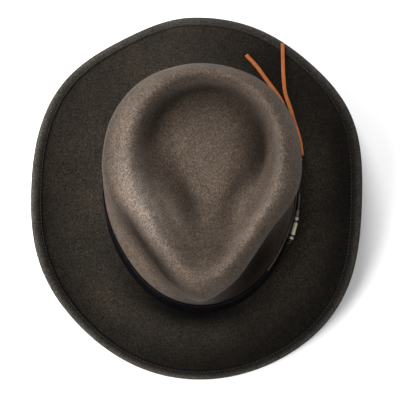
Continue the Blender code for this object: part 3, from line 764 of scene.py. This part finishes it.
def leather(name, colour, light, roughness, grain, depth, shine):
    """Leather with a fine grain, lighter where it is rubbed."""
    paint = Paint(name, roughness, **{"Specular IOR Level": shine})
    rubbed = paint.ramp(paint.noise(90.0, 4.0, 0.65), 0.4, 0.7)
    colour = paint.mix(rubbed, scaled(colour, 1.0), scaled(light, 1.0))
    inputs = {"Vector": paint.place, "Scale": grain}
    cells = paint.add("ShaderNodeTexVoronoi", inputs, feature="DISTANCE_TO_EDGE").outputs[0]
    creases = paint.bump(paint.ramp(cells, 0.0, 0.25), depth, 0.7)
    pores = paint.bump(paint.noise(grain * 2.2, 2.0), depth / 2, 0.6, creases)
    return paint.finish(colour, pores)


def polished(slot, colour, light, roughness, stretch):
    """Bone, horn and bead material with faint streaks along the piece."""
    paint = Paint(slot + "_polished", roughness, **{"Coat Weight": 0.3, "Coat Roughness": 0.15})
    streak = paint.ramp(paint.noise(420.0, 3.0, 0.6, stretch), 0.35, 0.65)
    base = paint.mix(streak, scaled(colour, 1.0), scaled(light, 1.0))
    return paint.finish(base, paint.bump(paint.noise(900.0, 2.0), 0.00008, 0.5))


# The hat


def make_crown(material):
    """The crown: one closed shell of felt, open below for the head."""
    turns = even_turns(CROWN_SEGMENTS)
    outer = crown_surface(turns, crown_levels(CROWN_STEPS))
    normals = skin_normals(outer)
    inner = outer - CROWN_FELT * normals
    inner[0, :, 2] = outer[0, :, 2]
    rings = len(outer) - 1
    walls = [skin[:-1].reshape(-1, 3) for skin in (outer, inner)]
    points = np.concatenate(walls + [outer[-1, :1], inner[-1, :1]])
    inside = rings * CROWN_SEGMENTS
    last = (rings - 1) * CROWN_SEGMENTS
    wall = grid_faces(rings, CROWN_SEGMENTS, False)
    faces = wall + [tuple(inside + k for k in face[::-1]) for face in wall]
    for k in range(CROWN_SEGMENTS):
        beside = (k + 1) % CROWN_SEGMENTS
        faces.append((last + k, last + beside, 2 * inside))
        faces.append((inside + last + beside, inside + last + k, 2 * inside + 1))
        faces.append((beside, k, inside + k, inside + beside))
    crown = add_object("crown_felt_shell", points + CENTRE, faces, material)
    # Painted shade in the crease and pinches, painted highlights on the ridge
    mark_painted_light(crown.data, CROWN_PAINTED_LIGHT, turns, crown_levels(CROWN_STEPS)[:-1])
    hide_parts("crown")


def ring_mesh(name, rings, material):
    """A closed loop of rings round the hat."""
    segments = len(rings[0])
    faces = [face[::-1] for face in grid_faces(len(rings), segments, True)]
    return add_object(name, np.concatenate(rings) + CENTRE, faces, material)


def round_rings(turns, share, height, radius, angles):
    """Rings on an arc. Its middle is at a share of the brim's width and a height over its face."""
    rings = []
    for angle in np.radians(angles):
        reach = share + radius / BRIM_WIDTH * math.cos(angle)
        rings.append(brim_point(turns, reach, height + radius * math.sin(angle)))
    return rings


def make_brim(material):
    """The brim's felt, from the collar inside the crown out to the edge under the edge band."""
    turns = even_turns(BRIM_SEGMENTS)
    out = direction(turns)
    outside = base_radius(turns) - CROWN_FELT - GAP
    inside = outside - BRIM_FELT
    level = np.full(BRIM_SEGMENTS, BREAK_HEIGHT)
    upper = crown_surface(turns, [1.0])[0]
    upper = np.hypot(upper[:, 0], upper[:, 1]) - CROWN_FELT
    lean = (upper - (outside + GAP)) / BAND_HEIGHT * COLLAR_HEIGHT - COLLAR_SLACK

    def ring(radius, height):
        """A ring round the crown at a radius and a height."""
        return np.column_stack([out * radius[:, None], height])

    top = level + COLLAR_HEIGHT
    rings = [ring(inside + lean + COLLAR_BEVEL, top), ring(outside + lean - COLLAR_BEVEL, top)]
    rings += [ring(outside + lean, top - COLLAR_BEVEL), ring(outside - COLLAR_SLACK, level + COLLAR_FOOT)]
    rings.append(ring(outside + BREAK_OUT, level))
    shares = np.linspace(FACE_START, WELT_START + FACE_OVERLAP, 30)
    places = np.concatenate([np.zeros(len(rings)), shares])
    rings += [brim_point(turns, share, 0) for share in shares]
    edge = 1 - RIM_INSET / BRIM_WIDTH
    rings += round_rings(turns, edge, -RIM_DEPTH, RIM_RADIUS, np.linspace(80, -80, 7))
    rings.append(brim_point(turns, WELT_START + RIM_BACK, -RIM_INSET))
    shares = np.linspace(WELT_START + UNDER_OVERLAP, FACE_START, 26)
    rings += [brim_point(turns, share, -BRIM_FELT) for share in shares]
    for angle in np.radians(np.linspace(0, 90, 7)):
        reach = COLLAR_FOLD * (1 - math.sin(angle))
        rise = COLLAR_FOLD * (1 - math.cos(angle))
        rings.append(ring(inside + reach, level - BRIM_FELT + rise))
    brim = ring_mesh("brim_felt_sheet", rings, material)
    # Painted shade over the brim and a painted shadow in front of the crown
    mark_painted_light(brim.data, BRIM_PAINTED_SHADE, turns, places)
    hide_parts("brim")


def make_edge_band(material):
    """The felt strip round the brim's edge, over its rim and back under it."""
    turns = even_turns(BRIM_SEGMENTS)
    edge = (BRIM_FELT + WELT_FELT) / 2
    edge_share = 1 - edge / BRIM_WIDTH
    rings = [brim_point(turns, WELT_START + TUCK_SHARE, -TUCK_DEPTH)]
    rings.append(brim_point(turns, WELT_START, WELT_FELT - 2 * WELT_SOFT))
    middle = WELT_START + WELT_SOFT / BRIM_WIDTH
    rings += round_rings(turns, middle, WELT_FELT - WELT_SOFT, WELT_SOFT, (160, 130, 100))
    for share in np.linspace(0.15, 0.9, 6):
        place = WELT_START + (edge_share - WELT_START) * share
        swell = WELT_SWELL * math.sin(math.pi * share)
        rings.append(brim_point(turns, place, WELT_FELT + swell - WELT_SINK))
    rings += round_rings(turns, edge_share, WELT_FELT - edge, edge, np.linspace(90, -90, 13))
    shares = np.linspace(edge_share - UNDER_SHARES[0], WELT_START + UNDER_SHARES[1], 4)
    rings += [brim_point(turns, share, -BRIM_FELT) for share in shares]
    rings.append(brim_point(turns, WELT_START + UNDER_TUCK_SHARE, -BRIM_FELT + UNDER_TUCK_DEPTH))
    band = ring_mesh("brim_edge_band", rings, material)
    # Painted shade on the edge band's inner rings and on the wearer's left, less at the back
    shade = EDGE_SHADE * np.exp(-(((turns - EDGE_SHADE_TURN) / EDGE_SHADE_REACH) ** 2))
    faded = 1 - EDGE_FADE * np.exp(-(((turns - FULL_TURN / 2) / EDGE_FADE_REACH) ** 2))
    store(band.data, "painted_shade", 1 - (1 - np.outer(EDGE_PAINTED_SHADE, faded)) * (1 - shade))
    store(band.data, "painted_highlight", np.zeros(1))
    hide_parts("brim")


def make_hat_band(leather_face, leather_edge_highlight):
    """The leather band with rounded edges, with a highlight painted on its cut top edge between the given
    turns.
    """
    turns = even_turns(BAND_SEGMENTS)
    foot = BREAK_HEIGHT + GAP + BAND_SEAT
    section = [(rise, -1) for rise in BAND_INNER_RISES] + [(1, out) for out in BAND_EDGE_OUTS]
    section += [(rise, 0) for rise in BAND_OUTER_RISES]
    section += [(BAND_FOOT_RISE, out) for out in reversed(BAND_EDGE_OUTS)]
    rings = [band_point(turns, rise, out * BAND_LEATHER) for rise, out in section]
    rings[0][:, 2] = foot + BAND_FOOT_LIFT
    for ring in rings[-2:]:
        ring[:, 2] = foot
    faces = grid_faces(len(rings), BAND_SEGMENTS, True)
    points = np.concatenate(rings) + CENTRE
    band = add_object("hat_band_leather", points, faces, leather_face)
    band.data.materials.append(leather_edge_highlight)
    for polygon in band.data.polygons:
        ring, column = divmod(polygon.index, BAND_SEGMENTS)
        # A highlight painted on the cut top edge between these turns
        if ring in BAND_TOP_RINGS and EDGE_HIGHLIGHT_TURNS[0] < turns[column] < EDGE_HIGHLIGHT_TURNS[1]:
            polygon.material_index = 1
    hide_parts("hat_band")


def band_path():
    """Turns and distances round the band at the beads' height, from where the thong ends in front."""
    turns = np.linspace(BEAD_TURN - PATH_MARGINS[0], KNOT_TURN + PATH_MARGINS[1], 240)
    points = band_point(turns, BEAD_HEIGHT, bead_out())
    lengths = lengths_along(points)
    return turns, lengths - np.interp(BEAD_TURN, turns, lengths)


def bead_out():
    """How far a bead's middle lies out from the band."""
    return GAP + BEAD_DIAMETER / 2


def bead_spans():
    """Where each bead starts and ends along the path, and where the path's end is."""
    reach = FRONT_LEAD
    spans = []
    for _, _, length, _ in BEADS:
        spans.append((reach, reach + length))
        reach += length + GAP
    return spans, reach + BACK_LEAD


def turn_at(distance):
    """The turn at a distance along the beads' path."""
    turns, lengths = band_path()
    return np.interp(distance, lengths, turns)


def slit_turns():
    """The turns at which the thong goes through the band, in front and behind."""
    return BEAD_TURN, float(turn_at(bead_spans()[1]))


def bead_pose(span):
    """The middle and the direction of a bead that lies along the band between two distances."""
    turns = turn_at(np.linspace(*span, 9))
    path = band_point(turns, BEAD_HEIGHT, bead_out())
    along = (path[-1] - path[0]) / np.linalg.norm(path[-1] - path[0])
    out = np.cross(along, (0, 0, 1))
    reach = ((path - path[0]) @ out).max()
    return (path[0] + path[-1]) / 2 + out * reach, along


def oval_section(wide, thick, sides):
    """An oval section from its half width and half thickness."""
    angles = [math.tau * k / sides for k in range(sides)]
    return [(wide * math.cos(angle), thick * math.sin(angle)) for angle in angles]


def make_bead(name, diameter, span, material):
    """A drilled bead with softly rounded ends, turned about its bore and laid along the band."""
    length = span[1] - span[0]
    wall = (diameter - BEAD_BORE) / 2
    soft = min(length / 2, wall) * BEAD_ROUNDING
    belly = BEAD_BELLY if length > 2 * diameter else 0.0
    section = [(BEAD_BORE / 2, -length / 2 + wall / 3), (BEAD_BORE / 2 + wall / 6, -length / 2)]
    curve = [(math.cos(turn), math.sin(turn)) for turn in np.radians(np.linspace(0, 90, 5))]
    inner = diameter / 2 - soft
    straight = length / 2 - soft
    section += [(inner + soft * across, -straight - soft * up) for across, up in reversed(curve)]
    for share in (0.3, 0.5, 0.7):
        section.append((diameter / 2 - belly * math.sin(math.pi * share), (share - 0.5) * 2 * straight))
    section += [(inner + soft * across, straight + soft * up) for across, up in curve]
    section += [(BEAD_BORE / 2 + wall / 6, length / 2), (BEAD_BORE / 2, length / 2 - wall / 3)]
    points = []
    for radius, along in section:
        points += [(x, y, along) for x, y in oval_section(radius, radius, BEAD_SIDES)]
    middle, heading = bead_pose(span)
    turned = Vector(heading).to_track_quat("Z", "Y").to_matrix().to_4x4()
    faces = grid_faces(len(section), BEAD_SIDES, True)
    bead = add_object(name + "_turned", points, faces, material)
    bead.matrix_world = Matrix.Translation(Vector(middle + CENTRE)) @ turned
    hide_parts(name)


def smooth_route(points, count):
    """Evenly spread points on a smooth curve through a route's own points."""
    points = np.array(points, float)
    knots = lengths_along(points[:, :3])
    return spline_weights(knots, np.linspace(0, knots[-1], count)) @ points


def welt_height(share):
    """The edge band's height where a tail crosses it."""
    start = 1 - (WELT_WIDTH + 2 * WELT_FELT) / BRIM_WIDTH
    return (WELT_FELT + GAP) * float(smooth_step((share - start + WELT_RAMP) / WELT_RAMP))


def tail_route(rows):
    """A free end's points in space, with the lean of its flat side as a fourth column."""
    route = []
    for turn, out, lift, lean in rows:
        band = band_point(turn, 0.0, 0.0)[0]
        radius = math.hypot(band[0], band[1]) + out
        share = (radius - base_radius(turn)) / brim_run([turn])[0]
        rest = LACE_REST + LACE_LEATHER / 2
        point = brim_point([turn], share, rest + welt_height(share))[0]
        route.append((point[0], point[1], point[2] + lift, lean))
    return route


def brim_normal(point):
    """The brim's upward normal below a point that is given about the crown's axis."""
    turn = math.degrees(math.atan2(point[0], -point[1]))
    share = (math.hypot(point[0], point[1]) - base_radius(turn)) / brim_run([turn])[0]
    steps = ((0, -0.02), (0, 0.02), (-1, 0), (1, 0))
    near, far, left, right = (brim_point([turn + aside], share + step, 0)[0] for aside, step in steps)
    normal = np.cross(right - left, near - far)
    return normal / np.linalg.norm(normal) * math.copysign(1, normal[2])


def lace_frames(route):
    """The lace's width direction along its route, lying along the brim or standing against the band."""
    wides = []
    for point, ahead in zip(route, np.gradient(route[:, :3], axis=0)):
        ahead = ahead / np.linalg.norm(ahead)
        upright = np.array((0, 0, 1)) - ahead[2] * ahead
        upright /= np.linalg.norm(upright)
        aside = np.cross(ahead, upright)
        across = np.cross(brim_normal(point), ahead)
        flat = math.atan2(across @ aside, across @ upright) % math.pi
        tilt = flat * (1 - min(max(point[3], 0), 90) / 90)
        wides.append(upright * math.cos(tilt) + aside * math.sin(tilt))
    return np.array(wides)


def lace_section():
    """The lace's cut section: a flat strip with slightly worn corners."""
    wide = LACE_WIDTH / 2
    thick = LACE_LEATHER / 2
    soft = LACE_CORNER
    corners = []
    for x, y, start in ((1, 1, 0), (-1, 1, 90), (-1, -1, 180), (1, -1, 270)):
        for angle in (0, 45, 90):
            turn = math.radians(start + angle)
            across = x * (wide - soft) + soft * math.cos(turn)
            corners.append((across, y * (thick - soft) + soft * math.sin(turn)))
    return corners


def sweep(points, wides, section, shrink=1.0):
    """Rings of a section along a path, with closed ends."""
    rings = []
    for k, (point, ahead) in enumerate(zip(points, np.gradient(points, axis=0))):
        ahead = ahead / np.linalg.norm(ahead)
        wide = wides[k] - (wides[k] @ ahead) * ahead
        wide /= np.linalg.norm(wide)
        thick = np.cross(ahead, wide)
        size = shrink if k in (0, len(points) - 1) else 1.0
        rings.append(np.array([point + size * (x * wide + y * thick) for x, y in section]))
    sides = len(section)
    faces = grid_faces(len(rings), sides, False)
    faces.append(tuple(range(sides))[::-1])
    faces.append(tuple(range((len(rings) - 1) * sides, len(rings) * sides)))
    return np.concatenate(rings), faces


def make_tail(name, rows, material):
    """A free end of the lace."""
    route = smooth_route(tail_route(rows), TAIL_POINTS)
    wides = lace_frames(route)
    path = route[:, :3] + CENTRE
    points, faces = sweep(path, wides, lace_section())
    tail = add_object(name + "_suede", points, faces, material)
    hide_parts(name)


def thong_route():
    """The thong from the knot, down behind the band, out through it, along the beads and back in."""
    front, back = slit_turns()
    behind = -BAND_LEATHER - THONG_DIAMETER / 2 - GAP
    top = 1 + (GAP + THONG_DIAMETER) / BAND_HEIGHT
    # A row for each point: turn, share of the band's height, distance out from the band's outer face
    rows = [
        (KNOT_TURN - 1.5, top, GAP + THONG_DIAMETER / 2),
        (KNOT_TURN - 2.6, top + 0.03, -BAND_LEATHER / 2),
        (KNOT_TURN - 3.8, top, behind),
        (KNOT_TURN - 5.0, 0.90, behind),
        (KNOT_TURN - 6.8, 0.70, behind),
        (back + 4.0, BEAD_HEIGHT, behind),
        (back + 2.4, BEAD_HEIGHT, behind),
        (back, BEAD_HEIGHT, -BAND_LEATHER / 2),
    ]
    route = [band_point(turn, rise, out)[0] for turn, rise, out in rows]
    spans = bead_spans()[0][::-1]
    last, along = bead_pose(spans[0])
    route.append(last + along * ((spans[0][1] - spans[0][0]) / 2 + THONG_DIAMETER))
    for span in spans:
        middle, along = bead_pose(span)
        reach = along * (span[1] - span[0]) * 0.45
        route += [middle + reach, middle, middle - reach]
    rows = [
        (front + 1.6, BEAD_HEIGHT, bead_out()),
        (front + 0.3, BEAD_HEIGHT, GAP),
        (front, BEAD_HEIGHT, -BAND_LEATHER / 2),
    ]
    return route + [band_point(turn, rise, out)[0] for turn, rise, out in rows]


def make_thong(material):
    """The round thong that holds the beads."""
    path = smooth_route(thong_route(), THONG_POINTS) + CENTRE
    wides = np.tile((0.01, 0.0, 1.0), (len(path), 1))
    section = oval_section(THONG_DIAMETER / 2, THONG_DIAMETER / 2, THONG_SIDES)
    points, faces = sweep(path, wides, section)
    thong = add_object("lace_thong_cord", points, faces, material)
    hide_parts("lace_thong")


def make_knot(material):
    """The knot: the lace wound over its own ends."""
    place = band_point(KNOT_TURN + KNOT_SHIFT, 1.0, GAP + KNOT_WIDTH / 2)[0]
    ahead = band_point(KNOT_TURN + KNOT_AHEAD, 1.0, GAP + KNOT_WIDTH / 2)[0]
    along = (ahead - place) / np.linalg.norm(ahead - place)
    side = np.cross((0, 0, 1), along)
    side /= np.linalg.norm(side)
    up = np.cross(along, side)
    route = []
    for share in np.linspace(0, 1, KNOT_POINTS):
        angle = math.tau * KNOT_WINDS * share
        radius = KNOT_COIL + KNOT_COIL_WAVE * math.sin(angle * 1.5)
        run = KNOT_LENGTH * KNOT_RUN * (share - 0.5) + KNOT_RUN_WAVE * math.sin(angle * 2 + 0.6)
        route.append(place + along * run + radius * (side * math.cos(angle) + up * math.sin(angle)))
    wides = np.tile(along, (KNOT_POINTS, 1))
    section = oval_section(*KNOT_LACE, KNOT_SIDES)
    points, faces = sweep(np.array(route) + CENTRE, wides, section, 0.6)
    shares = np.linspace(-0.5, 0.5, 9)
    core = place + CENTRE + along * KNOT_LENGTH * shares[:, None]
    section = oval_section(KNOT_CORE, KNOT_CORE, KNOT_SIDES)
    core_points, core_faces = sweep(core, np.tile(up, (len(core), 1)), section, 0.7)
    faces += [tuple(len(points) + k for k in face) for face in core_faces]
    points = np.concatenate([points, core_points])
    knot = add_object("lace_knot_wound", points, faces, material)
    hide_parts("lace_knot")


def make_stitches(material):
    """A row of thread stitches just inside the edge band's inner edge."""
    share = WELT_START + STITCH_SHARE
    rest = WELT_FELT + STITCH_REST
    turns = np.linspace(0, FULL_TURN, 1441)
    lengths = lengths_along(brim_point(turns, share, rest))
    count = int(lengths[-1] / STITCH_PITCH)
    section = oval_section(STITCH_RADIUS, STITCH_RADIUS, STITCH_SIDES)
    wides = np.tile((0.0, 0.0, 1.0), (len(STITCH_RISE), 1))
    points, faces = [], []
    for k in range(count):
        start = lengths[-1] * k / count
        steps = start + np.linspace(0, STITCH_LENGTH, len(STITCH_RISE))
        places = np.interp(steps, lengths, turns)
        path = [brim_point([turn], share, rest + up)[0] for turn, up in zip(places, STITCH_RISE)]
        stitch, stitch_faces = sweep(np.array(path), wides, section, 0.6)
        shift = k * len(stitch)
        faces += [tuple(shift + j for j in face) for face in stitch_faces]
        points.append(stitch)
    add_object("edge_stitches", np.concatenate(points) + CENTRE, faces, material)


# The scene


def add_camera():
    """The camera at the photo's angle. Its roll turns the picture about its middle."""
    back = Vector(CAMERA_BACK).normalized()
    roll = math.radians(CAMERA_ROLL)
    up = Vector((math.sin(roll), math.cos(roll), 0))
    up = (up - up.dot(back) * back).normalized()
    right = up.cross(back)
    data = bpy.data.cameras.new("camera")
    data.angle = 2 * math.atan(PICTURE_HALF / CAMERA_FOCUS)
    data.shift_x, data.shift_y = CAMERA_SHIFT
    camera = link_object("camera", data)
    place = back * CAMERA_DISTANCE + Vector(CAMERA_TARGET)
    camera.matrix_world = Matrix.Translation(place) @ Matrix((right, up, back)).transposed().to_4x4()
    bpy.context.scene.camera = camera


def add_light(name, place, size, share, colour):
    """A round soft lamp that shines on the hat."""
    data = bpy.data.lights.new(name, "AREA")
    data.shape = "DISK"
    data.size = size
    data.energy = LIGHT * share
    data.color = colour
    light = link_object(name, data)
    light.location = Vector(place)
    away = Vector(place) - Vector(LIGHT_TARGET)
    light.rotation_euler = away.to_track_quat("Z", "Y").to_euler()


def add_studio():
    """A pale floor, four soft lamps from the left, the front left and the back, and an even white world."""
    paint = Paint("floor_paper", 0.9)
    paint.set(paint.shader, {"Base Color": FLOOR_COLOUR})
    mesh = bpy.data.meshes.new("floor")
    corners = [(x * FLOOR_REACH, y * FLOOR_REACH, 0) for x, y in ((-1, -1), (1, -1), (1, 1), (-1, 1))]
    mesh.from_pydata(corners, [], [(0, 1, 2, 3)])
    mesh.materials.append(paint.material)
    floor = link_object("floor", mesh)
    floor.location.z = -FLOOR_DROP
    for lamp in LIGHTS:
        add_light(*lamp)
    world = bpy.data.worlds.new("studio")
    world.use_nodes = True
    background = world.node_tree.nodes["Background"]
    background.inputs["Color"].default_value = WHITE + (1.0,)
    background.inputs["Strength"].default_value = WORLD
    bpy.context.scene.world = world
    bpy.context.scene.view_settings.view_transform = "Standard"


def main():
    """Places the camera and the laces, then the rest of the hat, then the floor and the light."""
    add_camera()
    felts = {row[0]: felt(*row, *painted_light_colours) for row, painted_light_colours in zip(FELTS, FELT_PAINTED_LIGHT)}
    leathers = {row[0]: leather(*row) for row in LEATHERS}
    beads = {row[0]: polished(*row) for row in BEAD_LOOKS}
    make_tail("lace_tail_left", TAIL_LEFT, leathers["lace_suede"])
    make_tail("lace_tail_right", TAIL_RIGHT, leathers["lace_suede"])
    make_thong(leathers["thong_leather"])
    make_knot(leathers["lace_suede"])
    make_crown(felts["crown_wool"])
    make_brim(felts["brim_wool"])
    make_edge_band(felts["edge_wool"])
    make_stitches(leathers["edge_thread"])
    make_hat_band(leathers["band_face"], leathers["band_cut_edge_highlight"])
    for (name, slot, _, girth), span in zip(BEADS, bead_spans()[0]):
        make_bead(name, BEAD_DIAMETER * girth, span, beads[slot])
    add_studio()


main()
